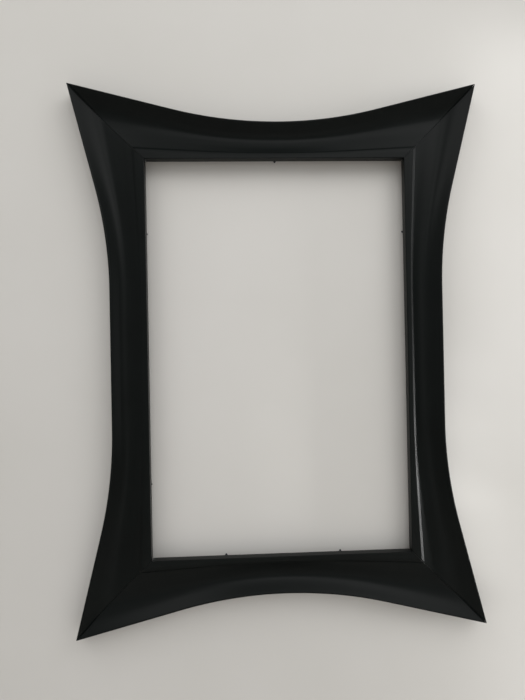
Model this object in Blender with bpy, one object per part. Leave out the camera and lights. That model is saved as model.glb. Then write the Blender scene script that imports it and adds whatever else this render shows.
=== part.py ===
"""Upright picture frame for a 400 x 600 mm picture, black, with drawn-in sides.

Four wide wooden rails are mitred together. Their outer edges curve in between the corners, so
that the corners stand out as points. The moulding is lofted: its land, step, hollow and rim
stay at the same share of the rail's width, from the narrow waist to the wide corners.

Metres, +Z up, +X to the right, and the front faces -Y. The origin lies in the plane of the
frame's back, at the middle notch of the sawtooth hanger, where a wall nail carries the frame.
"""

import math

import bmesh
import bpy

MM = 0.001

# Picture and rebate
PICTURE_WIDTH = 400 * MM
PICTURE_HEIGHT = 600 * MM
PICTURE_PLAY = 1 * MM
PACK_THICKNESS = 5.5 * MM
REBATE_DEPTH = 12 * MM
LIP_WIDTH = 11 * MM
LIP_THICKNESS = 14 * MM

# Rails, seen from the front
WAIST_WIDTH = 52 * MM
TIP_WIDTH = 107.5 * MM
EDGE_RADIUS = 615 * MM
MITRE_GAP = 0.3 * MM

# Rails, in cross-section: heights above the back, and the shares of the local width at which
# the land ends, the step ends and the hollow is deepest
RIM_HEIGHT = 31.5 * MM
RIM_ROUND = 2 * MM
SIGHT_ROUND = 0.8 * MM
LAND_SHARE = 0.13
LAND_FALL = 1.2 * MM
STEP_SHARE = 0.185
STEP_TILT = math.radians(29)
VALLEY_SHARE = 0.56
HOLLOW_FALL = 7 * MM

# Steel V-nails across each mitre: the inner one's distance from the sight edge, and the outer
# one's from the tip
V_NAIL_FROM_SIGHT = 24 * MM
V_NAIL_FROM_TIP = 28 * MM
V_NAIL_LEG = 8 * MM
V_NAIL_FLARE = 1.8 * MM
V_NAIL_FLARE_TILT = math.radians(35)
V_NAIL_THICKNESS = 0.8 * MM
V_NAIL_LENGTH = 7 * MM
V_NAIL_SUNK = 0.3 * MM

# Flexible steel tabs: the rail that each is in, and its place along it from the rail's middle
TAB_PLACES = {
    "top": ("top", 0 * MM),
    "right_upper": ("right", -185 * MM),
    "bottom_right": ("bottom", -87 * MM),
    "bottom_left": ("bottom", 83 * MM),
    "left_lower": ("left", -184 * MM),
    "left_upper": ("left", 185 * MM),
}
TAB_WIDTH = 8 * MM
TAB_NOSE_WIDTH = 1.8 * MM
TAB_TAPER = 7 * MM
TAB_THICKNESS = 0.5 * MM
TAB_SHOWS = 0.3 * MM
TAB_DRIVEN = 10 * MM
TAB_BEND_OFF = 0.4 * MM

# Sawtooth hanger and its nails
NAIL_SEAT_ABOVE_REBATE = 21 * MM
HANGER_LENGTH = 46 * MM
HANGER_HEIGHT = 8.6 * MM
HANGER_THICKNESS = 0.9 * MM
HANGER_END = 6.5 * MM
HANGER_RAMP = 2.5 * MM
HANGER_RISE = 2 * MM
HANGER_END_ROUND = 1.5 * MM
TOOTH_PITCH = 3 * MM
TOOTH_DEPTH = 1.6 * MM
TOOTH_COUNT = 8
BRAD_SHANK_RADIUS = 0.6 * MM
BRAD_HEAD_RADIUS = 1.8 * MM
BRAD_HEAD_HEIGHT = 0.8 * MM
BRAD_LENGTH = 10 * MM
BRAD_POINT = 1.5 * MM

# Room between pieces that touch, and how far a cutter runs past the face that it opens
CLEARANCE = 0.3 * MM
OVERCUT = 1 * MM

REBATE_HALF_WIDTH = PICTURE_WIDTH / 2 + PICTURE_PLAY
REBATE_HALF_HEIGHT = PICTURE_HEIGHT / 2 + PICTURE_PLAY
SIGHT_HALF_WIDTH = REBATE_HALF_WIDTH - LIP_WIDTH
SIGHT_HALF_HEIGHT = REBATE_HALF_HEIGHT - LIP_WIDTH
SIGHT_HEIGHT = REBATE_DEPTH + LIP_THICKNESS
CENTRE_Z = -REBATE_HALF_HEIGHT - NAIL_SEAT_ABOVE_REBATE

V_NAIL_PLACES = {
    "inner": V_NAIL_FROM_SIGHT,
    "middle": (V_NAIL_FROM_SIGHT + TIP_WIDTH - V_NAIL_FROM_TIP) / 2,
    "outer": TIP_WIDTH - V_NAIL_FROM_TIP,
}

# Each rail: its turn about Y from the top rail, its half length and its distance from the
# frame's centre, both at the sight edge
RAILS = {
    "top": (0, SIGHT_HALF_WIDTH, SIGHT_HALF_HEIGHT),
    "right": (90, SIGHT_HALF_HEIGHT, SIGHT_HALF_WIDTH),
    "bottom": (180, SIGHT_HALF_WIDTH, SIGHT_HALF_HEIGHT),
    "left": (270, SIGHT_HALF_HEIGHT, SIGHT_HALF_WIDTH),
}

# Each corner: its turn about Y from the top right one, and the two rails that meet there
CORNERS = {
    "top_right": (0, ("top", "right")),
    "bottom_right": (90, ("right", "bottom")),
    "bottom_left": (180, ("bottom", "left")),
    "top_left": (270, ("left", "top")),
}


def clear_scene():
    for obj in list(bpy.data.objects):
        bpy.data.objects.remove(obj, do_unlink=True)


def make_material(name, colour, roughness, metallic):
    material = bpy.data.materials.new(name)
    material.use_nodes = True
    shader = material.node_tree.nodes["Principled BSDF"]
    shader.inputs["Base Color"].default_value = (*colour, 1)
    shader.inputs["Roughness"].default_value = roughness
    shader.inputs["Metallic"].default_value = metallic
    material.diffuse_color = (*colour, 1)
    return material


def place(name, bm, location, turn):
    """Makes a mesh object of bm, turned by turn degrees about Y through its own origin."""
    bmesh.ops.recalc_face_normals(bm, faces=bm.faces)
    mesh = bpy.data.meshes.new(name)
    bm.to_mesh(mesh)
    bm.free()
    obj = bpy.data.objects.new(name, mesh)
    obj.location = location
    obj.rotation_euler = (0, math.radians(turn), 0)
    bpy.context.scene.collection.objects.link(obj)
    return obj


def add_piece(name, bm, material, location=(0, 0, 0), turn=0):
    """A piece of the frame, shaded smooth between its edges of 30 degrees or more."""
    obj = place(name, bm, location, turn)
    obj.data.materials.append(material)
    obj.data.shade_smooth()
    obj.data.set_sharp_from_angle(angle=math.radians(30))
    return obj


def cut(targets, name, bm, location=(0, 0, 0), turn=0):
    """Takes bm out of each target with a live Boolean, and hides the cutter.

    The cutter stays flat-shaded, so that the faces round a cut keep their own shading.
    """
    cutter = place(name, bm, location, turn)
    cutter.hide_render = True
    cutter.display_type = "WIRE"
    for target in targets:
        boolean = target.modifiers.new(name, "BOOLEAN")
        boolean.operation = "DIFFERENCE"
        boolean.solver = "EXACT"
        boolean.object = cutter


def turned(turn, along, out):
    """World X and Z of a point that a piece at this turn has at along, out from the centre."""
    angle = math.radians(turn)
    x = along * math.cos(angle) + out * math.sin(angle)
    z = out * math.cos(angle) - along * math.sin(angle)
    return x, CENTRE_Z + z


def prism(bm, outline, y_back, y_front):
    """Adds the XZ outline as a plate between two depths."""
    verts = [bm.verts.new((x, y_back, z)) for x, z in outline]
    face = bm.faces.new(verts)
    grown = bmesh.ops.extrude_face_region(bm, geom=[face])["geom"]
    moved = [item for item in grown if isinstance(item, bmesh.types.BMVert)]
    bmesh.ops.translate(bm, verts=moved, vec=(0, y_front - y_back, 0))


def ribbon(path, thickness):
    """Closed outline of a strip of this thickness that is centred on the path."""
    sides = []
    for i, (x, z) in enumerate(path):
        normals = []
        for start, end in zip(path[max(i - 1, 0) :], path[max(i, 1) : i + 2]):
            length = math.dist(start, end)
            normals.append(((start[1] - end[1]) / length, (end[0] - start[0]) / length))
        nx = sum(n[0] for n in normals)
        nz = sum(n[1] for n in normals)
        # The mean normal is stretched so that both neighbouring stretches keep their thickness
        scale = thickness / 2 / (nx * normals[0][0] + nz * normals[0][1])
        sides.append(((x + nx * scale, z + nz * scale), (x - nx * scale, z - nz * scale)))
    return [left for left, _ in sides] + [right for _, right in reversed(sides)]


def revolve(bm, profile, segments):
    """Turns (radius, y) points, which start and end on the axis, about the Y axis."""
    rings = []
    for radius, y in profile:
        if radius == 0:
            rings.append([bm.verts.new((0, y, 0))])
            continue
        steps = [2 * math.pi * i / segments for i in range(segments)]
        ring = [bm.verts.new((radius * math.cos(a), y, radius * math.sin(a))) for a in steps]
        rings.append(ring)
    for near, far in zip(rings, rings[1:]):
        for i in range(segments):
            j = (i + 1) % segments
            corners = [near[i % len(near)], near[j % len(near)]]
            corners += [far[j % len(far)], far[i % len(far)]]
            bm.faces.new(list(dict.fromkeys(corners)))


def edge_shape(half_length):
    """Half length of the straight middle, slope of the straight ends and half span of a rail.

    From each tip the outer edge runs straight, and then turns along an arc of EDGE_RADIUS
    until it is level at the waist. The short rails have no straight middle. The slope follows
    from the span, the drop from tip to waist and the radius.
    """
    short = min(SIGHT_HALF_WIDTH, SIGHT_HALF_HEIGHT)
    middle = half_length - short
    span = short + TIP_WIDTH
    level = EDGE_RADIUS - (TIP_WIDTH - WAIST_WIDTH)
    slope = math.atan2(span, level) - math.acos(EDGE_RADIUS / math.hypot(span, level))
    return middle, slope, half_length + TIP_WIDTH


def rail_width(along, half_length):
    """Width of the rail at this distance along its outer edge from the middle."""
    middle, slope, half_span = edge_shape(half_length)
    along = abs(along)
    if along <= middle:
        return WAIST_WIDTH
    if along <= middle + EDGE_RADIUS * math.sin(slope):
        return WAIST_WIDTH + EDGE_RADIUS - math.sqrt(EDGE_RADIUS**2 - (along - middle) ** 2)
    return TIP_WIDTH - (half_span - along) * math.tan(slope)


def stations(half_length):
    """Places along the outer edge, from one tip to the other, as shares of the half span."""
    middle, slope, half_span = edge_shape(half_length)
    arc = EDGE_RADIUS * math.sin(slope)
    places = [0.0]
    for start, stretch, steps in (
        (0.0, middle, 4),
        (middle, arc, 9),
        (middle + arc, half_span - middle - arc, 5),
    ):
        if stretch > 0:
            places += [start + stretch * i / steps for i in range(1, steps + 1)]
    shares = [place / half_span for place in places]
    return [-share for share in reversed(shares[1:])] + shares


def curve(start, end, slope_start, slope_end, steps):
    """Points after start on the cubic that leaves start and meets end at the given slopes."""
    run = end[0] - start[0]
    points = []
    for i in range(1, steps + 1):
        k = i / steps
        blend = k * k * (3 - 2 * k)
        lift = k * (1 - k) * ((1 - k) * slope_start - k * slope_end) * run
        points.append((start[0] + run * k, start[1] + (end[1] - start[1]) * blend + lift))
    return points


def arc(centre, radius, start, end, steps):
    """Points on an arc, both ends included, with the angles measured from the width axis."""
    angles = [start + (end - start) * i / steps for i in range(steps + 1)]
    return [(centre[0] + radius * math.cos(a), centre[1] + radius * math.sin(a)) for a in angles]


def front_profile(width):
    """The moulding's face, as (distance from the sight edge, height above the back) points.

    A rounded sight edge, a land that falls gently, a step, a wide hollow and a rounded rim.
    """
    right_angle = math.pi / 2
    land_start_slope = -math.tan(math.radians(5))
    land_end_slope = -math.tan(math.radians(16))
    land_end = (LAND_SHARE * width, SIGHT_HEIGHT - LAND_FALL)
    step_drop = math.tan(STEP_TILT) * (STEP_SHARE - LAND_SHARE) * width
    step_end = (STEP_SHARE * width, land_end[1] - step_drop)
    valley = (VALLEY_SHARE * width, step_end[1] - HOLLOW_FALL)
    hollow_slope = -1.6 * HOLLOW_FALL / (valley[0] - step_end[0])
    rim_centre = (width - RIM_ROUND, RIM_HEIGHT - RIM_ROUND)
    rim_slope = 1.3 * (RIM_HEIGHT - valley[1]) / (rim_centre[0] - valley[0])
    rim = arc(rim_centre, RIM_ROUND, right_angle + math.atan(rim_slope), 0, 5)
    points = arc((SIGHT_ROUND, SIGHT_HEIGHT - SIGHT_ROUND), SIGHT_ROUND, 2 * right_angle, right_angle, 3)
    points += curve(points[-1], land_end, land_start_slope, land_end_slope, 3)
    points += curve(land_end, step_end, land_end_slope, hollow_slope, 4)
    points += curve(step_end, valley, hollow_slope, 0, 5)
    points += curve(valley, rim[0], 0, rim_slope, 7)
    return points + rim[1:]


def build_rail(name, material):
    """Lofts one rail from mitre to mitre, and places it.

    In the rail's own frame X runs along it, Z out from the sight edge and -Y to the front. A
    station joins one place on the sight edge to one on the outer edge, at the same share of
    their lengths, so that the first and last stations lie on the 45 degree mitres.
    """
    turn, half_length, out = RAILS[name]
    half_span = half_length + TIP_WIDTH
    held_back = MITRE_GAP / math.sqrt(2)
    bm = bmesh.new()
    rings = []
    for share in stations(half_length):
        width = rail_width(share * half_span, half_length)
        section = front_profile(width)
        section += [(width, 0), (LIP_WIDTH, 0), (LIP_WIDTH, REBATE_DEPTH), (0, REBATE_DEPTH)]
        inner = share * (half_length - held_back)
        outer = share * (half_span - held_back)
        ring = []
        for across, height in section:
            along = inner + (outer - inner) * across / width
            ring.append(bm.verts.new((along, -height, across)))
        rings.append(ring)
    count = len(rings[0])
    for near, far in zip(rings, rings[1:]):
        for i in range(count):
            j = (i + 1) % count
            bm.faces.new((near[i], near[j], far[j], far[i]))
    bm.faces.new(rings[0])
    bm.faces.new(rings[-1])
    x, z = turned(turn, 0, out)
    return add_piece(f"rail_{name}", bm, material, (x, 0, z), turn)


def v_nail_path():
    """Centre line of a V-nail, with its point at the origin, towards the frame's corner."""
    straight = V_NAIL_LEG - V_NAIL_FLARE
    along = straight + V_NAIL_FLARE * math.cos(V_NAIL_FLARE_TILT)
    aside = V_NAIL_FLARE * math.sin(V_NAIL_FLARE_TILT)
    return [(-along, aside), (-straight, 0), (0, 0), (0, -straight), (aside, -along)]


def lengthened(path, extra):
    """The same path, with both of its ends run on by this much."""
    path = list(path)
    for end, neighbour in ((0, 1), (-1, -2)):
        share = extra / math.dist(path[end], path[neighbour])
        (x0, z0), (x1, z1) = path[neighbour], path[end]
        path[end] = (x1 + (x1 - x0) * share, z1 + (z1 - z0) * share)
    return path


def build_v_nails(rails, material):
    """Three V-nails across each mitre, in pockets that both rails share.

    Each leg lies in one rail and runs along it, and the point of the V is on the joint.
    """
    foot = -V_NAIL_SUNK - V_NAIL_LENGTH
    pocket = ribbon(lengthened(v_nail_path(), CLEARANCE), V_NAIL_THICKNESS + 2 * CLEARANCE)
    for corner, (turn, names) in CORNERS.items():
        along = SIGHT_HALF_WIDTH if turn in (0, 180) else SIGHT_HALF_HEIGHT
        out = SIGHT_HALF_HEIGHT if turn in (0, 180) else SIGHT_HALF_WIDTH
        for where, across in V_NAIL_PLACES.items():
            x, z = turned(turn, along + across, out + across)
            bm = bmesh.new()
            prism(bm, ribbon(v_nail_path(), V_NAIL_THICKNESS), -V_NAIL_SUNK, foot)
            add_piece(f"v_nail_{corner}_{where}", bm, material, (x, 0, z), turn)
            bm = bmesh.new()
            prism(bm, pocket, OVERCUT, foot - CLEARANCE)
            joined = [rails[name] for name in names]
            cut(joined, f"v_nail_pocket_{corner}_{where}", bm, (x, 0, z), turn)


def tab_outline(length, clearance=0.0):
    """Strip with a tapered nose that points along -Z, its root on the X axis."""
    wide = TAB_WIDTH / 2 + clearance
    nose = TAB_NOSE_WIDTH / 2 + clearance
    tip = -length - clearance
    shoulder = tip + TAB_TAPER
    round_off = TAB_NOSE_WIDTH / 4
    right = [(wide, 0), (wide, shoulder), (nose, tip + round_off), (nose - round_off, tip)]
    return right + [(-x, z) for x, z in reversed(right)]


def build_tabs(rails, material):
    """Flexible tabs: a driven end in a slot in the rebate wall, and a blade that bends.

    The steel bends where it leaves the wood, so the blade is a piece of its own that turns on
    that line. The blade's origin is on the bend.
    """
    half = TAB_THICKNESS / 2
    y = PACK_THICKNESS - REBATE_DEPTH + half
    driven = [(x, -z) for x, z in tab_outline(TAB_DRIVEN)]
    slot = [(x, -z if z < 0 else -OVERCUT) for x, z in tab_outline(TAB_DRIVEN, CLEARANCE)]
    for place_name, (rail_name, along) in TAB_PLACES.items():
        turn, _, out = RAILS[rail_name]
        wall = out + LIP_WIDTH
        x, z = turned(turn, along, wall - TAB_BEND_OFF)
        bm = bmesh.new()
        prism(bm, tab_outline(LIP_WIDTH + TAB_SHOWS - TAB_BEND_OFF), half, -half)
        add_piece(f"flex_tab_{place_name}", bm, material, (x, y, z), turn)
        x, z = turned(turn, along, wall)
        bm = bmesh.new()
        prism(bm, driven, half, -half)
        add_piece(f"flex_tab_root_{place_name}", bm, material, (x, y, z), turn)
        bm = bmesh.new()
        prism(bm, slot, half + CLEARANCE, -half - CLEARANCE)
        cut([rails[rail_name]], f"flex_tab_slot_{place_name}", bm, (x, y, z), turn)


def hanger_columns():
    """Places along the hanger, each with its lower edge, upper edge and rise off the back."""
    top = HANGER_HEIGHT - TOOTH_DEPTH
    half = HANGER_LENGTH / 2
    ramp_end = half - HANGER_END
    ramp_start = ramp_end - HANGER_RAMP
    columns = []
    for i in range(TOOTH_COUNT + 1):
        low = 0 if i % 2 == 0 else -TOOTH_DEPTH
        columns.append((TOOTH_PITCH / 2 * i, low, top, HANGER_RISE))
    columns.append((ramp_start, -TOOTH_DEPTH, top, HANGER_RISE))
    columns.append((ramp_end, -TOOTH_DEPTH, top, 0))
    for k in range(4):
        a = math.radians(30) * k
        inset = HANGER_END_ROUND * (1 - math.cos(a))
        x = half - HANGER_END_ROUND + HANGER_END_ROUND * math.sin(a)
        columns.append((x, inset - TOOTH_DEPTH, top - inset, 0))
    return [(-x, low, high, rise) for x, low, high, rise in reversed(columns[1:])] + columns


def build_hanger(rail, material, nail_material):
    """A pressed strip with teeth along its lower edge, raised off the wood between its ends.

    The two brads go through holes in its ends and into the top rail.
    """
    bm = bmesh.new()
    rings = []
    for x, low, high, rise in hanger_columns():
        near = CLEARANCE + rise
        far = near + HANGER_THICKNESS
        corners = ((near, low), (near, high), (far, high), (far, low))
        rings.append([bm.verts.new((x, y, z)) for y, z in corners])
    for left, right in zip(rings, rings[1:]):
        for i in range(4):
            j = (i + 1) % 4
            bm.faces.new((left[i], left[j], right[j], right[i]))
    bm.faces.new(rings[0])
    bm.faces.new(rings[-1])
    hanger = add_piece("sawtooth_hanger", bm, material)
    seat = CLEARANCE + HANGER_THICKNESS + CLEARANCE
    hole = BRAD_SHANK_RADIUS + CLEARANCE
    z = HANGER_HEIGHT / 2 - TOOTH_DEPTH
    for side, sign in (("left", -1), ("right", 1)):
        x = sign * (HANGER_LENGTH - HANGER_END) / 2
        neck = BRAD_HEAD_HEIGHT / 3
        head = [(0, BRAD_HEAD_HEIGHT), (BRAD_HEAD_RADIUS * 0.7, BRAD_HEAD_HEIGHT * 0.8)]
        head += [(BRAD_HEAD_RADIUS, neck), (BRAD_HEAD_RADIUS, 0), (BRAD_SHANK_RADIUS, 0)]
        shank = [(BRAD_SHANK_RADIUS, BRAD_POINT - BRAD_LENGTH), (0, -BRAD_LENGTH)]
        bm = bmesh.new()
        revolve(bm, head + shank, 12)
        add_piece(f"hanger_brad_{side}", bm, nail_material, (x, seat, z))
        bm = bmesh.new()
        end = -BRAD_LENGTH - CLEARANCE
        revolve(bm, [(0, OVERCUT), (hole, OVERCUT), (hole, end), (0, end)], 12)
        cut([hanger, rail], f"hanger_brad_hole_{side}", bm, (x, seat, z))


def main():
    clear_scene()
    paint = make_material("black_satin_lacquer", (0.012, 0.013, 0.013), 0.38, 0.0)
    steel = make_material("bright_steel", (0.45, 0.45, 0.46), 0.35, 1.0)
    blued = make_material("dark_spring_steel", (0.09, 0.09, 0.10), 0.42, 1.0)
    brass = make_material("brass_plate", (0.62, 0.47, 0.22), 0.34, 1.0)
    rails = {name: build_rail(name, paint) for name in RAILS}
    build_v_nails(rails, steel)
    build_tabs(rails, blued)
    build_hanger(rails["top"], brass, steel)


main()
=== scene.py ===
"""Picture frame with drawn-in sides, in satin black lacquer, on a pale wall.

The frame is four mitred wooden rails, held together by V-nails, with flexible tabs in the
rebate and a sawtooth hanger on the back. Metres, +Z up, and the front faces -Y.
"""

import math

import bpy
import numpy as np
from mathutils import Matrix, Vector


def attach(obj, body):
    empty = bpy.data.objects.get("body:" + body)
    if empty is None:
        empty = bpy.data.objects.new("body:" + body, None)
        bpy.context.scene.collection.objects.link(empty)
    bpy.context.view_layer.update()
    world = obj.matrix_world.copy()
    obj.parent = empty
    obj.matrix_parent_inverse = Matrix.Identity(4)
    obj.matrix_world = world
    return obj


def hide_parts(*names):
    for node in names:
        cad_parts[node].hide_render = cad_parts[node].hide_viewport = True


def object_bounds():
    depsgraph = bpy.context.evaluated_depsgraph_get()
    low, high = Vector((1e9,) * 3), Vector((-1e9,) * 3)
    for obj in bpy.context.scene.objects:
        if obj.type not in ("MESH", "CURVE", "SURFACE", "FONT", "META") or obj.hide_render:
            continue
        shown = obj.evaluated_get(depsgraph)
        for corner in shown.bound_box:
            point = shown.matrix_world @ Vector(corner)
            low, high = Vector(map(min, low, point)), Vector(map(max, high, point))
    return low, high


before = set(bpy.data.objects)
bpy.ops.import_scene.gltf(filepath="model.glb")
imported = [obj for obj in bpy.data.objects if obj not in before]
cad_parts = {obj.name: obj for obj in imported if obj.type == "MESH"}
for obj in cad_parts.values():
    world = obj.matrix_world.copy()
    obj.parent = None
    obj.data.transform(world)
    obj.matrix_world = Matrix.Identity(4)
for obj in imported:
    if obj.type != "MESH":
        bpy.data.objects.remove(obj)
solid_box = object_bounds()

# The four rails
# Straight-grained hardwood, run through a moulder to one face and cut to a drawn-in outline, so
# that the face's land, step, hollow and rim keep their share of the width. The face, the rim
# and the rebate are sprayed with satin black lacquer, and the back stays bare.

MM = 0.001

SIGHT_HALF_WIDTH = 190 * MM
SIGHT_HALF_HEIGHT = 290 * MM
WAIST_WIDTH = 52 * MM
TIP_WIDTH = 107.5 * MM
EDGE_RADIUS = 615 * MM
MITRE_GAP = 0.3 * MM

LIP_WIDTH = 11 * MM
REBATE_DEPTH = 12 * MM
SIGHT_HEIGHT = 26 * MM
SIGHT_ROUND = 0.8 * MM
RIM_HEIGHT = 31.5 * MM
RIM_ROUND = 2 * MM
LAND_SHARE, LAND_FALL = 0.13, 1.2 * MM
LAND_TILT, LAND_END_TILT = math.radians(5), math.radians(16)
STEP_SHARE, STEP_TILT = 0.185, math.radians(29)
VALLEY_SHARE, HOLLOW_FALL = 0.56, 7 * MM
# How much steeper than a straight line the hollow starts, and the rise to the rim ends
HOLLOW_STEEPNESS, RIM_STEEPNESS = 1.6, 1.3
ARRIS = 0.4 * MM
# Past this share of its half length, a rail's face is eased down to the mitre by this much
EASED_SHARE, MITRE_EASE = 0.999, 0.12 * MM
STATION_SPACING = 2.6 * MM
SHARP_ANGLE = math.radians(30)
OVERSPRAY_REACH = 14 * MM

CENTRE_Z = (solid_box[0].z + solid_box[1].z) / 2

# Each rail: its turn in degrees from the top one, its half length and its distance from the
# frame's centre, both at the sight edge
RAILS = {
    "top": (0, SIGHT_HALF_WIDTH, SIGHT_HALF_HEIGHT),
    "right": (90, SIGHT_HALF_HEIGHT, SIGHT_HALF_WIDTH),
    "bottom": (180, SIGHT_HALF_WIDTH, SIGHT_HALF_HEIGHT),
    "left": (270, SIGHT_HALF_HEIGHT, SIGHT_HALF_WIDTH),
}


def linear(hex_colour):
    """An sRGB colour such as "1A2B3C" as linear red, green, blue and full alpha."""
    srgb = np.array([int(hex_colour[i : i + 2], 16) for i in (0, 2, 4)]) / 255
    low = srgb / 12.92
    high = ((srgb + 0.055) / 1.055) ** 2.4
    return (*np.where(srgb <= 0.04045, low, high), 1.0)


def new_material(name):
    """A material with its Principled shader: (material, shader)."""
    material = bpy.data.materials.new(name)
    material.use_nodes = True
    return material, material.node_tree.nodes["Principled BSDF"]


def add_node(material, kind, sockets=None, stops=(), **settings):
    """Adds a shader node. A socket is given a value, or the output that feeds it.

    A colour ramp also has its stops, as pairs of a position and an sRGB colour.
    """
    made = material.node_tree.nodes.new("ShaderNode" + kind)
    for name, value in settings.items():
        setattr(made, name, value)
    for name, value in (sockets or {}).items():
        if isinstance(value, bpy.types.NodeSocket):
            material.node_tree.links.new(value, made.inputs[name])
        else:
            made.inputs[name].default_value = value
    if stops:
        band = made.color_ramp
        while len(band.elements) < len(stops):
            band.elements.new(0.5)
        for element, (position, hex_colour) in zip(band.elements, stops):
            element.position = position
            element.color = linear(hex_colour)
    return made


def join(material, output, node, socket):
    """Links an output to a named socket of a node."""
    material.node_tree.links.new(output, node.inputs[socket])


def make_lacquer():
    """Nitrocellulose lacquer with matting agent, sprayed over sealed and sanded wood.

    Near black and a little cool, faintly cloudy, with a broad sheen. Sanding marks along the
    moulding and the spray's fine orange peel break the sheen up.
    """
    material, shader = new_material("satin_black_lacquer")
    along = add_node(material, "UVMap", uv_map="moulding").outputs["UV"]
    here = add_node(material, "TexCoord").outputs["Object"]
    # Sanding marks are 0.2 mm apart on the real rail: here they are 3 mm, so that they show
    stretched = add_node(material, "Mapping", {"Vector": along, "Scale": (6, 330, 1)})
    marks = add_node(
        material,
        "TexNoise",
        {"Vector": stretched.outputs["Vector"], "Scale": 1.0, "Detail": 3.0, "Roughness": 0.6},
    ).outputs["Fac"]
    # The coats are cloudy over 60 mm, and orange peel is 1.5 mm across
    clouds = add_node(
        material, "TexNoise", {"Vector": here, "Scale": 16.0, "Detail": 4.0, "Roughness": 0.55}
    ).outputs["Fac"]
    peel = add_node(
        material, "TexNoise", {"Vector": here, "Scale": 650.0, "Detail": 2.0}
    ).outputs["Fac"]
    mixed = add_node(material, "Math", {0: marks, 1: clouds}, operation="ADD")
    half = add_node(material, "Math", {0: mixed.outputs[0], 1: 0.5}, operation="MULTIPLY")
    tone = add_node(
        material,
        "ValToRGB",
        {"Fac": half.outputs[0]},
        stops=((0.3, "070A09"), (0.7, "0B0F0E")),
    ).outputs["Color"]
    join(material, tone, shader, "Base Color")
    sheen = {"From Min": 0.3, "From Max": 0.7, "To Min": 0.29, "To Max": 0.35}
    gloss = add_node(material, "MapRange", {"Value": half.outputs[0], **sheen})
    join(material, gloss.outputs["Result"], shader, "Roughness")
    sanded = add_node(
        material, "Bump", {"Height": marks, "Strength": 0.12, "Distance": 0.1 * MM}
    ).outputs["Normal"]
    sprayed = add_node(
        material,
        "Bump",
        {"Height": peel, "Strength": 0.25, "Distance": 0.02 * MM, "Normal": sanded},
    ).outputs["Normal"]
    join(material, sprayed, shader, "Normal")
    shader.inputs["IOR"].default_value = 1.5
    shader.inputs["Specular IOR Level"].default_value = 0.095
    return material


def make_bare_wood():
    """Planed poplar, unfinished: pale, with straight brown grain along the rail.

    The second UV map holds the distance from the nearest lacquered edge, over which the black
    overspray thins out to bare wood in an uneven edge with specks. Faces cut in later carry no
    UV map and read as lying on that edge, so they come out black: painted shade in the pockets.
    """
    material, shader = new_material("planed_poplar_with_overspray")
    along = add_node(material, "UVMap", uv_map="moulding").outputs["UV"]
    edge = add_node(material, "UVMap", uv_map="from_painted_edge").outputs["UV"]
    here = add_node(material, "TexCoord").outputs["Object"]
    drift = add_node(material, "Mapping", {"Vector": along, "Scale": (5, 60, 1)})
    wander = add_node(
        material, "TexNoise", {"Vector": drift.outputs["Vector"], "Scale": 1.0, "Detail": 2.0}
    ).outputs["Color"]
    # Growth rings are 2.5 mm apart
    bands = add_node(material, "Mapping", {"Vector": along, "Scale": (3, 400, 1)})
    warped = add_node(
        material,
        "MixRGB",
        {"Fac": 0.75, "Color1": bands.outputs["Vector"], "Color2": wander},
        blend_type="ADD",
    )
    rings = add_node(
        material,
        "TexNoise",
        {"Vector": warped.outputs["Color"], "Scale": 1.0, "Detail": 3.0, "Roughness": 0.5},
    ).outputs["Fac"]
    # Fibres are drawn 0.4 mm wide and 11 mm long, coarser than poplar's, so that they show
    pores = add_node(material, "Mapping", {"Vector": along, "Scale": (90, 2500, 1)})
    fibres = add_node(
        material, "TexNoise", {"Vector": pores.outputs["Vector"], "Scale": 1.0, "Detail": 2.0}
    ).outputs["Fac"]
    wood = add_node(
        material,
        "ValToRGB",
        {"Fac": rings},
        stops=((0.3, "B8946A"), (0.47, "CDAE84"), (0.56, "D8BC94"), (0.72, "BF9C72")),
    ).outputs["Color"]
    darkened = add_node(
        material, "ValToRGB", {"Fac": fibres}, stops=((0.35, "7A5C3C"), (0.6, "FFFFFF"))
    ).outputs["Color"]
    grained = add_node(
        material,
        "MixRGB",
        {"Fac": 0.35, "Color1": wood, "Color2": darkened},
        blend_type="MULTIPLY",
    )
    # The overspray's edge wanders over 11 mm, and its specks are 1 mm across
    blown = add_node(
        material, "TexNoise", {"Vector": here, "Scale": 90.0, "Detail": 6.0, "Roughness": 0.7}
    ).outputs["Fac"]
    specks = add_node(
        material, "TexNoise", {"Vector": here, "Scale": 900.0, "Detail": 1.0}
    ).outputs["Fac"]
    distance = add_node(material, "SeparateXYZ", {"Vector": edge}).outputs["X"]
    spread = add_node(
        material,
        "MapRange",
        {"Value": distance, "From Max": OVERSPRAY_REACH, "To Min": -0.42, "To Max": 0.42},
    ).outputs["Result"]
    uneven = add_node(material, "Math", {0: spread, 1: blown}, operation="ADD").outputs[0]
    speckled = add_node(
        material, "Math", {0: specks, 1: 0.22, 2: uneven}, operation="MULTIPLY_ADD"
    ).outputs[0]
    bare = add_node(
        material, "MapRange", {"Value": speckled, "From Min": 0.5, "From Max": 0.66}
    ).outputs["Result"]
    finish = add_node(
        material,
        "MixRGB",
        {"Fac": bare, "Color1": linear("161818"), "Color2": grained.outputs["Color"]},
    )
    join(material, finish.outputs["Color"], shader, "Base Color")
    dull = add_node(
        material, "MapRange", {"Value": bare, "To Min": 0.55, "To Max": 0.78}
    ).outputs["Result"]
    join(material, dull, shader, "Roughness")
    relief = add_node(
        material, "Bump", {"Height": fibres, "Strength": 0.5, "Distance": 0.08 * MM}
    ).outputs["Normal"]
    join(material, relief, shader, "Normal")
    return material


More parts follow.
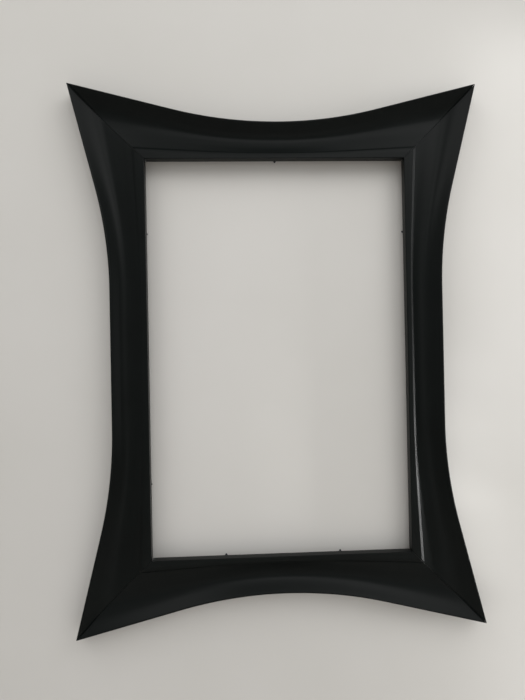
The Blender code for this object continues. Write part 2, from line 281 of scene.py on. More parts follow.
def rail_width(along, half_length):
    """Width of a rail at a distance along its outer edge from the middle.

    A long rail keeps the waist's width over its straight middle. From there the width grows by
    R - sqrt(R^2 - d^2) over an arc of EDGE_RADIUS, and then straight on at the arc's last
    slope, which is the one that ends at the tip's width.
    """
    span = SIGHT_HALF_WIDTH + TIP_WIDTH
    level = EDGE_RADIUS - (TIP_WIDTH - WAIST_WIDTH)
    slope = math.atan2(span, level) - math.acos(EDGE_RADIUS / math.hypot(span, level))
    past = np.maximum(np.abs(along) - (half_length - SIGHT_HALF_WIDTH), 0)
    arc = EDGE_RADIUS * math.sin(slope)
    rise = EDGE_RADIUS - np.sqrt(EDGE_RADIUS**2 - np.minimum(past, arc) ** 2)
    return WAIST_WIDTH + rise + np.maximum(past - arc, 0) * math.tan(slope)


def cubic(start, end, slope_start, slope_end, steps):
    """Points after start on the cubic through two points with these slopes at them.

    With k from 0 to 1 along the run, the height is blended by k^2 (3 - 2k), plus the run times
    k (1 - k) ((1 - k) first slope - k last slope).
    """
    k = np.arange(1, steps + 1) / steps
    run = end[0] - start[0]
    lift = k * (1 - k) * ((1 - k) * slope_start - k * slope_end) * run
    return start[0] + run * k, start[1] + (end[1] - start[1]) * k * k * (3 - 2 * k) + lift


def arc(centre, radius, start, end, steps):
    """Points on an arc from angle start to angle end, both ends included."""
    angle = start + (end - start) * np.linspace(0, 1, steps + 1)
    return centre[0] + radius * np.cos(angle), centre[1] + radius * np.sin(angle)


def face_profile(width):
    """The moulded face at each width: distances from the sight edge and heights off the back.

    A rounded sight edge, a land that falls a little, a step, a hollow and a rounded rim, joined
    by cubics that share their slopes. The width is a column, and each row is one section.
    """
    right_angle = math.pi / 2
    land_end = (LAND_SHARE * width, SIGHT_HEIGHT - LAND_FALL)
    step_drop = math.tan(STEP_TILT) * (STEP_SHARE - LAND_SHARE) * width
    step_end = (STEP_SHARE * width, land_end[1] - step_drop)
    valley = (VALLEY_SHARE * width, step_end[1] - HOLLOW_FALL)
    land_slope, step_slope = -math.tan(LAND_TILT), -math.tan(LAND_END_TILT)
    hollow_slope = -HOLLOW_STEEPNESS * HOLLOW_FALL / (valley[0] - step_end[0])
    rim_centre = (width - RIM_ROUND, RIM_HEIGHT - RIM_ROUND)
    rim_slope = RIM_STEEPNESS * (RIM_HEIGHT - valley[1]) / (rim_centre[0] - valley[0])
    rim = arc(rim_centre, RIM_ROUND, right_angle + np.arctan(rim_slope), 0, 10)
    sight_centre = (SIGHT_ROUND + 0 * width, SIGHT_HEIGHT - SIGHT_ROUND + 0 * width)
    sight = arc(sight_centre, SIGHT_ROUND, 2 * right_angle, right_angle, 6)
    top = (SIGHT_ROUND + 0 * width, SIGHT_HEIGHT + 0 * width)
    rim_start = (rim[0][:, :1], rim[1][:, :1])
    parts = [
        sight,
        cubic(top, land_end, land_slope, step_slope, 10),
        cubic(land_end, step_end, step_slope, hollow_slope, 12),
        cubic(step_end, valley, hollow_slope, 0, 22),
        cubic(valley, rim_start, 0, rim_slope, 28),
        (rim[0][:, 1:], rim[1][:, 1:]),
    ]
    return np.hstack([part[0] for part in parts]), np.hstack([part[1] for part in parts])


def in_place(points, turn, along=0.0, depth=0.0, out=0.0):
    """Carries points drawn at the top rail to their place on the frame.

    They are shifted along the rail, in depth and out from the frame's centre, and then turned
    about the centre's Y axis, clockwise as seen from the front.
    """
    angle = math.radians(turn)
    x, y, z = (points[..., i] + shift for i, shift in enumerate((along, depth, out)))
    x, z = x * math.cos(angle) + z * math.sin(angle), z * math.cos(angle) - x * math.sin(angle)
    return np.stack([x, y, CENTRE_Z + z], -1)


def make_piece(name, points, faces, *materials):
    """A mesh object at the origin, shaded smooth between its sharp edges."""
    mesh = bpy.data.meshes.new(name)
    mesh.from_pydata(points.reshape(-1, 3).tolist(), [], faces)
    for material in materials:
        mesh.materials.append(material)
    mesh.shade_smooth()
    mesh.set_sharp_from_angle(angle=SHARP_ANGLE)
    piece = bpy.data.objects.new(name, mesh)
    bpy.context.scene.collection.objects.link(piece)
    return piece


def build_rail(name, order, bare_wood, lacquer):
    """One rail as a closed surface: its section carried from mitre to mitre.

    Each station joins a place on the sight edge to the same share of the outer edge, so the
    first and the last lie on the mitres. A point at a distance across the section stands at
    that part of the way between the two.
    """
    turn, half_length, out = RAILS[name]
    half_span = half_length + TIP_WIDTH
    # Half of the mitre's gap, measured along the rail
    held_back = MITRE_GAP / math.sqrt(2)
    share = np.linspace(-1, 1, 2 * round(half_length / STATION_SPACING) + 1)
    first, last = share[:1], share[-1:]
    share = np.concatenate([first, first * EASED_SHARE, share[1:-1], last * EASED_SHARE, last])
    share = share[:, None]
    width = rail_width(share * half_span, half_length)
    across, height = face_profile(width)
    height = height - MITRE_EASE * (np.abs(share) > EASED_SHARE)
    painted = across.shape[1]
    back = [
        (width, ARRIS + 0 * width),
        (width - ARRIS, 0 * width),
        ((width + LIP_WIDTH) / 2, 0 * width),
        (LIP_WIDTH + 0 * width, 0 * width),
        (LIP_WIDTH + 0 * width, REBATE_DEPTH + 0 * width),
        (ARRIS + 0 * width, REBATE_DEPTH + 0 * width),
        (0 * width, REBATE_DEPTH + ARRIS + 0 * width),
    ]
    across = np.hstack([across] + [point[0] for point in back])
    height = np.hstack([height] + [point[1] for point in back])
    inner = share * (half_length - held_back)
    outer = share * (half_span - held_back)
    along = inner + (outer - inner) * across / width
    points = in_place(np.stack([along, -height, across], -1), turn, out=out)

    rows, columns = across.shape
    i, j = np.mgrid[0 : rows - 1, 0:columns]
    k = (j + 1) % columns
    corners = np.stack(
        [i * columns + j, (i + 1) * columns + j, (i + 1) * columns + k, i * columns + k], -1
    )
    ends = [list(range(columns)), list(range((rows - 1) * columns, rows * columns))[::-1]]
    faces = corners.reshape(-1, 4).tolist() + ends
    rail = make_piece(f"moulded_rail_{name}", points, faces, bare_wood, lacquer)

    # Only the flat back and the two mitre faces, which come last, are bare
    bare_columns = [painted + 1, painted + 2]
    slots = np.where(np.isin(np.arange(columns), bare_columns), 0, 1)
    slots = np.concatenate([np.tile(slots, rows - 1), [0, 0]]).astype(np.int32)
    rail.data.polygons.foreach_set("material_index", slots)

    # Round the section, marks are placed as at the rail's middle, so that they keep their share
    # of the width. On the bare back the wood's grain is straight.
    middle = rows // 2
    across_steps = np.diff(across[middle], append=across[middle, :1])
    height_steps = np.diff(height[middle], append=height[middle, :1])
    round_it = np.concatenate([[0], np.cumsum(np.hypot(across_steps, height_steps))])
    ring = np.broadcast_to(round_it, (rows, columns + 1)).copy()
    ring[:, painted + 1 : painted + 4] = -across[:, painted + 1 : painted + 4]
    # Each rail is its own length of wood, so its pattern starts a metre on from the last one's
    station = np.concatenate([along, along[:, :1]], 1) + order
    # Distance from the nearest lacquered edge, and 1 m where it isn't needed
    from_edge = np.full((rows, columns + 1), 1.0)
    from_edge[:, painted + 1] = ARRIS
    from_edge[:, painted + 2] = (width - LIP_WIDTH)[:, 0] / 2
    from_edge[:, painted + 3] = ARRIS
    i, j = np.mgrid[0 : rows - 1, 0:columns]
    rows_of = np.stack([i, i + 1, i + 1, i], -1).reshape(-1)
    columns_of = np.stack([j, j, j + 1, j + 1], -1).reshape(-1)
    blank = np.zeros((2 * columns, 2))
    for layer, u, v in (("moulding", station, ring), ("from_painted_edge", from_edge, ring)):
        values = np.stack([u[rows_of, columns_of], v[rows_of, columns_of]], -1)
        values = np.concatenate([values, blank]).astype(np.float32).reshape(-1)
        rail.data.uv_layers.new(name=layer).data.foreach_set("uv", values)
    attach(rail, "root")
    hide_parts(f"rail_{name}")
    return rail


lacquer = make_lacquer()
bare_wood = make_bare_wood()
rails = {name: build_rail(name, order, bare_wood, lacquer) for order, name in enumerate(RAILS)}

# The V-nails
# Strips of galvanised steel bent to a V with flared ends, three across each corner joint. They
# are pressed in from the back until they lie just under the wood.

V_NAIL_FROM_SIGHT, V_NAIL_FROM_TIP = 24 * MM, 28 * MM
V_NAIL_LEG, V_NAIL_FLARE, V_NAIL_FLARE_TILT = 8 * MM, 1.8 * MM, math.radians(35)
V_NAIL_THICKNESS, V_NAIL_LENGTH, V_NAIL_SUNK = 0.8 * MM, 7 * MM, 0.3 * MM
CLEARANCE = 0.3 * MM
# How far the cutter of a pocket stands out of the wood
OVERCUT = 1 * MM

# Each corner: its turn in degrees from the top right one, and its two rails
CORNERS = {
    "top_right": (0, ("top", "right")),
    "bottom_right": (90, ("right", "bottom")),
    "bottom_left": (180, ("bottom", "left")),
    "top_left": (270, ("left", "top")),
}


def ribbon(path, width):
    """Outline of a strip of this width along a path of (x, z) points, with mitred turns.

    At each point the sides lie half the width off, along the sum of the two normals that meet
    there, divided by that sum's part along one of them.
    """
    step = np.diff(path, axis=0)
    normal = np.stack([-step[:, 1], step[:, 0]], 1) / np.linalg.norm(step, axis=1)[:, None]
    both = np.concatenate([normal[:1], normal]) + np.concatenate([normal, normal[-1:]])
    share = (both * np.concatenate([normal, normal[-1:]])).sum(1, keepdims=True)
    aside = both * width / 2 / share
    return np.concatenate([path + aside, (path - aside)[::-1]])


def plate(outline, front, back):
    """Points of a plate: an (x, z) outline at its front depth, and then at its back depth.

    The outline is walked anticlockwise as seen from the front, by the sign of its area.
    """
    x, z = outline.T
    if (x * np.roll(z, -1) - z * np.roll(x, -1)).sum() < 0:
        x, z = x[::-1], z[::-1]
    depth = np.repeat([front, back], len(x))
    return np.stack([np.tile(x, 2), depth, np.tile(z, 2)], 1)


def plate_faces(count, first=0):
    """Side faces, front and back of a plate whose points start at first."""
    i = np.arange(count)
    j = (i + 1) % count
    sides = np.stack([i, i + count, j + count, j], 1) + first
    return [*sides.tolist(), (i + first).tolist(), (i[::-1] + count + first).tolist()]


def carve(piece, plates):
    """Takes plates, given as their points, out of a piece with one exact Boolean."""
    faces, first = [], 0
    for points in plates:
        faces += plate_faces(len(points) // 2, first)
        first += len(points)
    # The tool has no UV maps, so on a rail the cut faces read as lying on a lacquered edge and come
    # out black: painted shade in the pockets and holes, whose wood is bare
    tool = make_piece("carving_tool", np.concatenate(plates), faces)
    tool.data.shade_flat()
    cut = piece.modifiers.new("cut", "BOOLEAN")
    cut.operation = "DIFFERENCE"
    cut.solver = "EXACT"
    cut.object = tool
    evaluated = piece.evaluated_get(bpy.context.evaluated_depsgraph_get())
    carved = bpy.data.meshes.new_from_object(evaluated)
    piece.modifiers.clear()
    piece.data = carved
    bpy.data.objects.remove(tool)


def make_galvanised_steel():
    """Hot-dipped strip steel: mid grey and dull, with faint spangle and rolling marks."""
    material, shader = new_material("galvanised_strip_steel")
    here = add_node(material, "TexCoord").outputs["Object"]
    # Spangle is 1.7 mm across. Rolling marks are drawn 1 mm apart, so that they show
    spangle = add_node(material, "TexVoronoi", {"Vector": here, "Scale": 600.0})
    tone = add_node(
        material,
        "ValToRGB",
        {"Fac": spangle.outputs["Color"]},
        stops=((0.1, "8E9194"), (0.9, "B4B6B8")),
    ).outputs["Color"]
    join(material, tone, shader, "Base Color")
    grain = add_node(material, "Mapping", {"Vector": here, "Scale": (900, 60, 900)})
    rolled = add_node(
        material, "TexNoise", {"Vector": grain.outputs["Vector"], "Scale": 1.0, "Detail": 3.0}
    ).outputs["Fac"]
    dull = add_node(material, "MapRange", {"Value": rolled, "To Min": 0.28, "To Max": 0.55})
    join(material, dull.outputs["Result"], shader, "Roughness")
    relief = add_node(
        material, "Bump", {"Height": rolled, "Strength": 0.4, "Distance": 0.02 * MM}
    ).outputs["Normal"]
    join(material, relief, shader, "Normal")
    shader.inputs["Metallic"].default_value = 1.0
    return material


galvanised = make_galvanised_steel()
cuts = {name: [] for name in RAILS}
# A V-nail's pocket follows its two legs, and runs on past the flared ends by the clearance
flare_along = V_NAIL_FLARE * math.cos(V_NAIL_FLARE_TILT)
flare_aside = V_NAIL_FLARE * math.sin(V_NAIL_FLARE_TILT)
straight = V_NAIL_LEG - V_NAIL_FLARE
flared = np.array([straight + flare_along, -flare_aside])
run_on = flared + (flared - np.array([straight, 0])) * CLEARANCE / V_NAIL_FLARE
leg = np.array([run_on, [straight, 0], [0, 0]])
v_path = np.concatenate([-leg, -leg[1::-1, ::-1]])
v_pocket = plate(
    ribbon(v_path, V_NAIL_THICKNESS + 2 * CLEARANCE),
    -V_NAIL_SUNK - V_NAIL_LENGTH - CLEARANCE,
    OVERCUT,
)
v_nail_places = {
    "inner": V_NAIL_FROM_SIGHT,
    "middle": (V_NAIL_FROM_SIGHT + TIP_WIDTH - V_NAIL_FROM_TIP) / 2,
    "outer": TIP_WIDTH - V_NAIL_FROM_TIP,
}
for corner, (turn, names) in CORNERS.items():
    sides = (SIGHT_HALF_WIDTH, SIGHT_HALF_HEIGHT)
    along, out = sides if turn in (0, 180) else sides[::-1]
    for where, across in v_nail_places.items():
        for name in names:
            cuts[name].append(in_place(v_pocket, turn, along=along + across, out=out + across))
        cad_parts[f"v_nail_{corner}_{where}"].material_slots[0].material = galvanised

# The flexible tabs
# Strips of blued spring steel with a tapered nose. One end is driven into the rebate's wall,
# and the other lies over the back of the picture and is bent back by hand to let it out.

# The tabs lie on the back of what the rebate holds, which is this thick
PACK_THICKNESS = 5.5 * MM
TAB_WIDTH, TAB_NOSE_WIDTH, TAB_TAPER = 8 * MM, 1.8 * MM, 7 * MM
TAB_THICKNESS, TAB_SHOWS, TAB_DRIVEN, TAB_BEND_OFF = 0.5 * MM, 0.3 * MM, 10 * MM, 0.4 * MM
TAB_ROUND, TAB_NOSE_ROUND = 0.5 * MM, 0.7 * MM
SHEARED_EDGE, BEVEL_ANGLE = 0.08 * MM, math.radians(50)

# Each tab: its rail, and its distance from the rail's middle, clockwise as seen from the front
TAB_PLACES = {
    "top": ("top", 0 * MM),
    "right_upper": ("right", -185 * MM),
    "bottom_right": ("bottom", -87 * MM),
    "bottom_left": ("bottom", 83 * MM),
    "left_lower": ("left", -184 * MM),
    "left_upper": ("left", 185 * MM),
}


def rounded(corners, radius, steps=6):
    """The outline with each corner replaced by a curve that starts radius before it.

    The curve runs (1 - t)^2 start + 2 t (1 - t) corner + t^2 end, for t from 0 to 1.
    """
    to_last = np.roll(corners, 1, 0) - corners
    to_next = np.roll(corners, -1, 0) - corners
    start = corners + to_last / np.linalg.norm(to_last, axis=1)[:, None] * radius[:, None]
    end = corners + to_next / np.linalg.norm(to_next, axis=1)[:, None] * radius[:, None]
    t = np.linspace(0, 1, steps + 1)[None, :, None]
    curve = (1 - t) ** 2 * start[:, None] + 2 * t * (1 - t) * corners[:, None]
    return (curve + t**2 * end[:, None]).reshape(-1, 2)


def tab_outline(length, clearance=0.0):
    """A strip with a tapered nose that points along -Z, its root on the X axis."""
    wide, nose = TAB_WIDTH / 2 + clearance, TAB_NOSE_WIDTH / 2 + clearance
    tip = -length - clearance
    half = np.array([(wide, 0), (wide, tip + TAB_TAPER), (nose, tip)])
    return np.concatenate([half, half[::-1] * [-1, 1]])


def soften(piece):
    """Rounds a plate's sheared edges with a narrow bevel."""
    bevel = piece.modifiers.new("sheared_edges", "BEVEL")
    bevel.width = SHEARED_EDGE
    bevel.segments = 2
    bevel.limit_method = "ANGLE"
    bevel.angle_limit = BEVEL_ANGLE


def make_blued_steel():
    """Hardened strip, blued in oil: blue-black, with straw and violet where it was hottest.

    The fine scratches are from the press and from being bent.
    """
    material, shader = new_material("blued_spring_steel")
    here = add_node(material, "TexCoord").outputs["Object"]
    # Heat colours change over 6 mm. Scratches are drawn 0.7 mm apart, so that they show
    heat = add_node(
        material, "TexNoise", {"Vector": here, "Scale": 170.0, "Detail": 3.0}
    ).outputs["Fac"]
    tone = add_node(
        material,
        "ValToRGB",
        {"Fac": heat},
        stops=((0.3, "30353E"), (0.5, "3C4049"), (0.62, "4B4650"), (0.75, "5A5148")),
    ).outputs["Color"]
    join(material, tone, shader, "Base Color")
    scratched = add_node(material, "Mapping", {"Vector": here, "Scale": (1500, 1500, 1500)})
    scratches = add_node(
        material,
        "TexNoise",
        {"Vector": scratched.outputs["Vector"], "Scale": 1.0, "Detail": 4.0, "Distortion": 1.5},
    ).outputs["Fac"]
    dull = add_node(material, "MapRange", {"Value": scratches, "To Min": 0.3, "To Max": 0.52})
    join(material, dull.outputs["Result"], shader, "Roughness")
    relief = add_node(
        material, "Bump", {"Height": scratches, "Strength": 0.3, "Distance": 0.015 * MM}
    ).outputs["Normal"]
    join(material, relief, shader, "Normal")
    shader.inputs["Metallic"].default_value = 1.0
    return material


blued = make_blued_steel()
half = TAB_THICKNESS / 2
tab_depth = PACK_THICKNESS - REBATE_DEPTH + half
radii = np.array(
    [TAB_ROUND, TAB_ROUND, TAB_NOSE_ROUND, TAB_NOSE_ROUND, TAB_ROUND, TAB_ROUND]
)
blade = plate(rounded(tab_outline(LIP_WIDTH + TAB_SHOWS - TAB_BEND_OFF), radii), -half, half)
root = plate(rounded(tab_outline(TAB_DRIVEN), radii) * [1, -1], -half, half)
slot = tab_outline(TAB_DRIVEN, CLEARANCE) * [1, -1]
slot[:, 1] = np.where(slot[:, 1] > 0, slot[:, 1], -OVERCUT)
slot = plate(slot, -half - CLEARANCE, half + CLEARANCE)
for where, (name, along) in TAB_PLACES.items():
    turn, _, out = RAILS[name]
    wall = out + LIP_WIDTH
    for kind, points, edge, body in (
        ("flex_tab", blade, wall - TAB_BEND_OFF, f"tab_{where}"),
        ("flex_tab_root", root, wall, "root"),
    ):
        points = in_place(points, turn, along, tab_depth, edge)
        tab = make_piece(f"{kind}_strip_{where}", points, plate_faces(len(points) // 2), blued)
        soften(tab)
        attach(tab, body)
        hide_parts(f"{kind}_{where}")
    cuts[name].append(in_place(slot, turn, along, tab_depth, wall))

# The sawtooth hanger and its brads
# A strip of brass-plated steel, pressed so that it stands off the wood between its ends, with a
# row of notches for the wall nail. Two small steel brads hold it to the top rail.

HANGER_LENGTH, HANGER_HEIGHT, HANGER_THICKNESS = 46 * MM, 8.6 * MM, 0.9 * MM
HANGER_END, HANGER_RAMP, HANGER_RISE, HANGER_END_ROUND = 6.5 * MM, 2.5 * MM, 2 * MM, 1.5 * MM
TOOTH_PITCH, TOOTH_DEPTH, TOOTH_COUNT = 3 * MM, 1.6 * MM, 8
TOOTH_SOFTNESS, TOOTH_SHIFT, POINTS_PER_TOOTH = 0.012, 0.02, 8
HANGER_EDGE = 0.15 * MM
BRAD_SHANK_RADIUS, BRAD_HEAD_RADIUS, BRAD_HEAD_HEIGHT = 0.6 * MM, 1.8 * MM, 0.8 * MM
BRAD_LENGTH, BRAD_POINT, BRAD_UNDERSIDE_SHARE = 10 * MM, 1.5 * MM, 0.94


def hanger_surface():
    """Points of the hanger as rings round its section, one for each place along it.

    The rise eases in and out over the ramp by t^2 (3 - 2t). The lower edge is a triangle wave
    with a notch every pitch, whose sharp turns are softened as sqrt(t^2 + softness) - shift.
    Each end is rounded by R - sqrt(R^2 - x^2). The section is a rectangle with rounded corners.
    """
    half = HANGER_LENGTH / 2
    toothed = TOOTH_PITCH * TOOTH_COUNT / 2
    ramp_end = half - HANGER_END
    curved = half - HANGER_END_ROUND
    x = np.concatenate(
        [
            np.linspace(0, toothed, TOOTH_COUNT * POINTS_PER_TOOTH + 1)[1:],
            np.linspace(toothed, ramp_end, 24)[1:],
            np.linspace(ramp_end, curved, 4)[1:],
            curved + HANGER_END_ROUND * np.sin(np.radians(np.arange(10, 91, 10))),
        ]
    )
    x = np.concatenate([-x[::-1], [0], x])
    from_middle = np.abs(x)
    phase = 2 * np.abs((from_middle / TOOTH_PITCH + 0.5) % 1 - 0.5)
    beyond = np.clip((from_middle - toothed) / (ramp_end - HANGER_RAMP - toothed), 0, 1)
    phase = np.where(from_middle > toothed, beyond, phase)
    tooth = np.minimum(np.sqrt(phase**2 + TOOTH_SOFTNESS) - TOOTH_SHIFT, 1)
    t = np.clip((ramp_end - from_middle) / HANGER_RAMP, 0, 1)
    rise = HANGER_RISE * t * t * (3 - 2 * t)
    round_end = np.clip(from_middle - curved, 0, None)
    inset = HANGER_END_ROUND - np.sqrt(HANGER_END_ROUND**2 - round_end**2)
    low = -TOOTH_DEPTH * tooth + inset
    high = HANGER_HEIGHT - TOOTH_DEPTH - inset
    inner = CLEARANCE + rise
    outer = inner + HANGER_THICKNESS
    turn = np.radians(np.arange(0, 91, 30))
    ring_y, ring_z = [], []
    for quarter, (y, z) in enumerate(((outer, high), (inner, high), (inner, low), (outer, low))):
        angle = turn + quarter * math.pi / 2
        inward_y = -HANGER_EDGE if quarter in (0, 3) else HANGER_EDGE
        inward_z = -HANGER_EDGE if quarter in (0, 1) else HANGER_EDGE
        ring_y.append((y + inward_y)[:, None] + HANGER_EDGE * np.cos(angle))
        ring_z.append((z + inward_z)[:, None] + HANGER_EDGE * np.sin(angle))
    y, z = np.hstack(ring_y), np.hstack(ring_z)
    return np.stack([np.broadcast_to(x[:, None], y.shape), y, z], -1)


def turned_brad(centre_x, seat_y, centre_z):
    """A brad turned about its own axis: a domed head, a straight shank and a point.

    A point of the profile at radius r stands at r cos a, r sin a for angles a all round.
    """
    neck = BRAD_HEAD_HEIGHT / 3
    dome = np.radians(np.arange(15, 91, 15))
    underside = BRAD_HEAD_RADIUS * BRAD_UNDERSIDE_SHARE
    domed = neck + (BRAD_HEAD_HEIGHT - neck) * np.cos(dome)
    radius = np.concatenate(
        [BRAD_HEAD_RADIUS * np.sin(dome), [underside, BRAD_SHANK_RADIUS, BRAD_SHANK_RADIUS]]
    )
    depth = np.concatenate([domed, [0, 0, BRAD_POINT - BRAD_LENGTH]])
    angle = np.radians(np.arange(0, 360, 15))
    rings, segments = len(radius), len(angle)
    body = np.stack(
        [
            np.outer(radius, np.cos(angle)),
            np.outer(depth, np.ones(segments)),
            np.outer(radius, np.sin(angle)),
        ],
        -1,
    ).reshape(-1, 3)
    points = np.concatenate([body, [[0, BRAD_HEAD_HEIGHT, 0], [0, -BRAD_LENGTH, 0]]])
    k, i = np.mgrid[0 : rings - 1, 0:segments]
    j = (i + 1) % segments
    quads = np.stack(
        [k * segments + i, k * segments + j, (k + 1) * segments + j, (k + 1) * segments + i], -1
    )
    i = np.arange(segments)
    j = (i + 1) % segments
    last = (rings - 1) * segments
    crown = np.stack([np.full(segments, rings * segments), j, i], 1)
    point = np.stack([np.full(segments, rings * segments + 1), last + i, last + j], 1)
    faces = quads.reshape(-1, 4).tolist() + crown.tolist() + point.tolist()
    return points + [centre_x, seat_y, centre_z], faces


def make_brass_plate():
    """Bright brass, plated thinly on pressed steel: yellow, gone brown in patches.

    The rolled strip under it leaves fine lines along the hanger.
    """
    material, shader = new_material("brass_plated_steel")
    here = add_node(material, "TexCoord").outputs["Object"]
    # The brown patches are 7 mm across. The lines are drawn 0.6 mm apart, so that they show
    age = add_node(
        material, "TexNoise", {"Vector": here, "Scale": 140.0, "Detail": 5.0, "Roughness": 0.65}
    ).outputs["Fac"]
    tone = add_node(
        material,
        "ValToRGB",
        {"Fac": age},
        stops=((0.3, "8F6F34"), (0.48, "C2A056"), (0.7, "D9BC74")),
    ).outputs["Color"]
    join(material, tone, shader, "Base Color")
    strip = add_node(material, "Mapping", {"Vector": here, "Scale": (40, 1600, 1600)})
    lines = add_node(
        material, "TexNoise", {"Vector": strip.outputs["Vector"], "Scale": 1.0, "Detail": 3.0}
    ).outputs["Fac"]
    dull = add_node(material, "MapRange", {"Value": age, "To Min": 0.48, "To Max": 0.24})
    join(material, dull.outputs["Result"], shader, "Roughness")
    relief = add_node(
        material, "Bump", {"Height": lines, "Strength": 0.35, "Distance": 0.02 * MM}
    ).outputs["Normal"]
    join(material, relief, shader, "Normal")
    shader.inputs["Metallic"].default_value = 1.0
    return material


hanger_points = hanger_surface()
rows, columns = hanger_points.shape[:2]
i, j = np.mgrid[0 : rows - 1, 0:columns]
k = (j + 1) % columns
sides = np.stack(
    [i * columns + j, i * columns + k, (i + 1) * columns + k, (i + 1) * columns + j], -1
)
ends = [list(range(columns))[::-1], list(range((rows - 1) * columns, rows * columns))]
faces = sides.reshape(-1, 4).tolist() + ends
hanger = make_piece("pressed_sawtooth_hanger", hanger_points, faces, make_brass_plate())
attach(hanger, "root")
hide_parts("sawtooth_hanger")

brad_seat = CLEARANCE + HANGER_THICKNESS + CLEARANCE
brad_z = HANGER_HEIGHT / 2 - TOOTH_DEPTH
round_hole = np.radians(np.arange(0, 360, 20))
round_hole = np.stack([np.cos(round_hole), np.sin(round_hole)], 1) * (BRAD_SHANK_RADIUS + CLEARANCE)
for side, sign in (("left", -1), ("right", 1)):
    brad_x = sign * (HANGER_LENGTH - HANGER_END) / 2
    brad = make_piece(f"domed_brad_{side}", *turned_brad(brad_x, brad_seat, brad_z), galvanised)
    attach(brad, "root")
    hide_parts(f"hanger_brad_{side}")
    bottom = brad_seat - BRAD_LENGTH - CLEARANCE
    hole = plate(round_hole + [brad_x, brad_z], bottom, brad_seat + OVERCUT)
    cuts["top"].append(hole)
    carve(hanger, [hole])

for name, rail in rails.items():
    carve(rail, cuts[name])

# The wall and the floor
# A plastered wall in warm grey emulsion just behind the hanger, and a plain pale floor. The
# wall shows from the front only. Lamplight from behind passes it round the opening and not in
# it, so that the frame's back can be seen and no light from behind falls on the sight edges.

WALL_Y = 3.4 * MM
FLOOR_Z = -1.4
WALL_TOP, ROOM_SIDE, ROOM_DEPTH = 3, 5, 6


def make_wall_paint():
    """Matt emulsion, rolled on: warm pale grey, cloudy over 0.4 m, with a stipple 3 mm across.

    The back face is clear, and so is the wall round the opening to rays aimed at a lamp.
    """
    material, shader = new_material("matt_emulsion")
    here = add_node(material, "TexCoord").outputs["Object"]
    patches = add_node(
        material, "TexNoise", {"Vector": here, "Scale": 2.5, "Detail": 4.0}
    ).outputs["Fac"]
    tone = add_node(
        material, "ValToRGB", {"Fac": patches}, stops=((0.3, "C5C3BE"), (0.7, "CBC9C5"))
    ).outputs["Color"]
    join(material, tone, shader, "Base Color")
    stipple = add_node(
        material, "TexNoise", {"Vector": here, "Scale": 300.0, "Detail": 3.0}
    ).outputs["Fac"]
    relief = add_node(
        material, "Bump", {"Height": stipple, "Strength": 0.3, "Distance": 0.1 * MM}
    ).outputs["Normal"]
    join(material, relief, shader, "Normal")
    shader.inputs["Roughness"].default_value = 0.85
    clear = add_node(material, "BsdfTransparent").outputs["BSDF"]
    behind = add_node(material, "NewGeometry").outputs["Backfacing"]
    to_lamp = add_node(material, "LightPath").outputs["Is Shadow Ray"]
    off_centre = add_node(material, "Mapping", {"Vector": here, "Location": (0, 0, -CENTRE_Z)})
    place = add_node(material, "SeparateXYZ", {"Vector": off_centre.outputs["Vector"]}).outputs
    # Beyond the opening's edges to either side, and above and below
    past = []
    for axis, edge in (("X", SIGHT_HALF_WIDTH), ("Z", SIGHT_HALF_HEIGHT)):
        off = add_node(material, "Math", {0: place[axis]}, operation="ABSOLUTE").outputs[0]
        past.append(
            add_node(material, "Math", {0: off, 1: edge}, operation="GREATER_THAN").outputs[0]
        )
    round_opening = add_node(
        material, "Math", {0: past[0], 1: past[1]}, operation="MAXIMUM"
    ).outputs[0]
    let_by = add_node(
        material, "Math", {0: to_lamp, 1: round_opening}, operation="MULTIPLY"
    ).outputs[0]
    seen_through = add_node(
        material, "Math", {0: behind, 1: let_by}, operation="MAXIMUM"
    ).outputs[0]
    mixed = add_node(
        material, "MixShader", {0: seen_through, 1: shader.outputs["BSDF"], 2: clear}
    ).outputs["Shader"]
    join(material, mixed, material.node_tree.nodes["Material Output"], "Surface")
    return material


def make_floor_paint():
    """Plain pale screed, almost white, and cloudy over 0.7 m."""
    material, shader = new_material("pale_screed")
    here = add_node(material, "TexCoord").outputs["Object"]
    patches = add_node(
        material, "TexNoise", {"Vector": here, "Scale": 1.5, "Detail": 5.0}
    ).outputs["Fac"]
    tone = add_node(
        material, "ValToRGB", {"Fac": patches}, stops=((0.3, "CFCAC5"), (0.7, "D6D2CD"))
    ).outputs["Color"]
    join(material, tone, shader, "Base Color")
    shader.inputs["Roughness"].default_value = 0.8
    return material


# The corners of each, in order round its one face
left_right = np.array([-ROOM_SIDE, ROOM_SIDE, ROOM_SIDE, -ROOM_SIDE])
low_high = np.array([FLOOR_Z, FLOOR_Z, WALL_TOP, WALL_TOP])
near_far = np.array([-ROOM_DEPTH, -ROOM_DEPTH, ROOM_DEPTH, ROOM_DEPTH])
wall = make_piece(
    "wall",
    np.stack([left_right, np.full_like(low_high, WALL_Y), low_high], 1),
    [(0, 1, 2, 3)],
    make_wall_paint(),
)
floor = make_piece(
    "floor",
    np.stack([left_right, near_far, np.full_like(low_high, FLOOR_Z)], 1),
    [(0, 1, 2, 3)],
    make_floor_paint(),
)

# Light and camera
# Soft daylight from the upper right, as the shadows on the wall show. Lamps behind the wall
# light the back. The camera stands where the photograph's perspective puts it.

ROOM_LIGHT = 0.63
STRIP_X, STRIP_Y, STRIP_WIDTH = 0.60, -0.10, 0.03
CAMERA_PLACE = (-59.9 * MM, -810.2 * MM, -315.7 * MM)
# In degrees, and then in millimetres
CAMERA_TURN = (90.307, 1.132, -2.591)
LENS, SENSOR_WIDTH = 27.77, 36


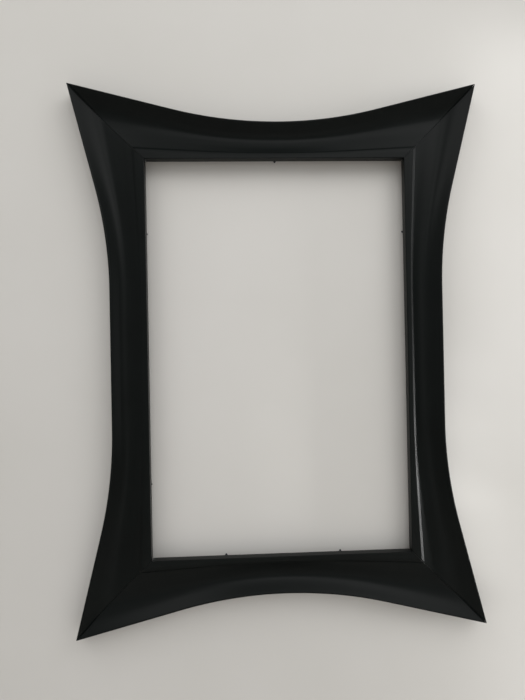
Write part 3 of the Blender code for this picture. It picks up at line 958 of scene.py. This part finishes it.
def add_lamp(name, place, aim, size, power):
    """A square white area lamp that shines from place towards aim, and isn't seen itself."""
    lamp = bpy.data.lights.new(name, "AREA")
    lamp.size = size
    lamp.energy = power
    holder = bpy.data.objects.new(name, lamp)
    direction = np.array(aim) - np.array(place)
    holder.location = place
    tilt = math.acos(-direction[2] / np.linalg.norm(direction))
    holder.rotation_euler = (tilt, 0, math.atan2(direction[1], direction[0]) - math.pi / 2)
    holder.visible_camera = False
    bpy.context.scene.collection.objects.link(holder)
    return lamp


# Each row has the name, the place, the size in metres and the power in watts
middle = (0, 0, CENTRE_Z)
for name, place, size, power in (
    ("window", (0.973, -1.39, 1.375), 2.2, 12.7),
    ("upper_left", (-1.1, -1.1, 1.234), 1.0, 6.4),
    ("upper_right", (1.158, -1.381, 0.94), 1.0, 5.0),
    ("over_camera", (0, -1.866, 0.844), 1.0, 5.0),
    ("from_floor", (0.2, -1.2, -1.3), 1.6, 2.4),
    ("right_side", (1.55, -1.55, -0.13), 1.0, 1.2),
):
    add_lamp(name, place, middle, size, power)

# Only rays aimed at a lamp pass the wall, so rays that would meet these by chance don't count
for name, place, size, power in (
    ("behind_high", (-0.03, 1.8, -0.18), 0.8, 12),
    ("behind_low", (0.03, 1.8, -0.46), 0.8, 8),
):
    lamp = add_lamp(name, place, middle, size, power)
    lamp.cycles.use_multiple_importance_sampling = False

# Five narrow strips near the wall, to the right, draw the bright line down the right rail's
# step, which grows towards the lower corner. The last four point at the step itself, over the
# rail's rim. Each row has the name, the height above the origin, the aim, the length in
# metres, the beam in degrees and the power in watts.
for name, place_z, aim, length, beam, power in (
    ("long_strip", -0.43, (0.22, 0.038, -0.43), 1.22, 36, 0.22),
    ("upper_strip", 0.03, (0.22, -0.005, -0.10), 0.20, 16, 0.004),
    ("middle_strip", -0.415, (0.22, -0.005, -0.36), 0.11, 14, 0.0065),
    ("low_strip", -0.54, (0.22, -0.005, -0.473), 0.14, 14, 0.0175),
    ("corner_strip", -0.68, (0.27, -0.012, -0.59), 0.14, 14, 0.020),
):
    strip = add_lamp(name, (STRIP_X, STRIP_Y, place_z), aim, STRIP_WIDTH, power)
    strip.shape = "RECTANGLE"
    strip.size_y = length
    strip.spread = math.radians(beam)

world = bpy.data.worlds.new("room")
world.use_nodes = True
sky = world.node_tree.nodes["Background"]
sky.inputs["Color"].default_value = linear("FFFFFF")
sky.inputs["Strength"].default_value = ROOM_LIGHT
bpy.context.scene.world = world

camera = bpy.data.objects.new("camera", bpy.data.cameras.new("camera"))
camera.data.lens = LENS
camera.data.sensor_width = SENSOR_WIDTH
camera.location = CAMERA_PLACE
camera.rotation_euler = [math.radians(angle) for angle in CAMERA_TURN]
bpy.context.scene.collection.objects.link(camera)
bpy.context.scene.camera = camera
bpy.context.scene.view_settings.view_transform = "Standard"
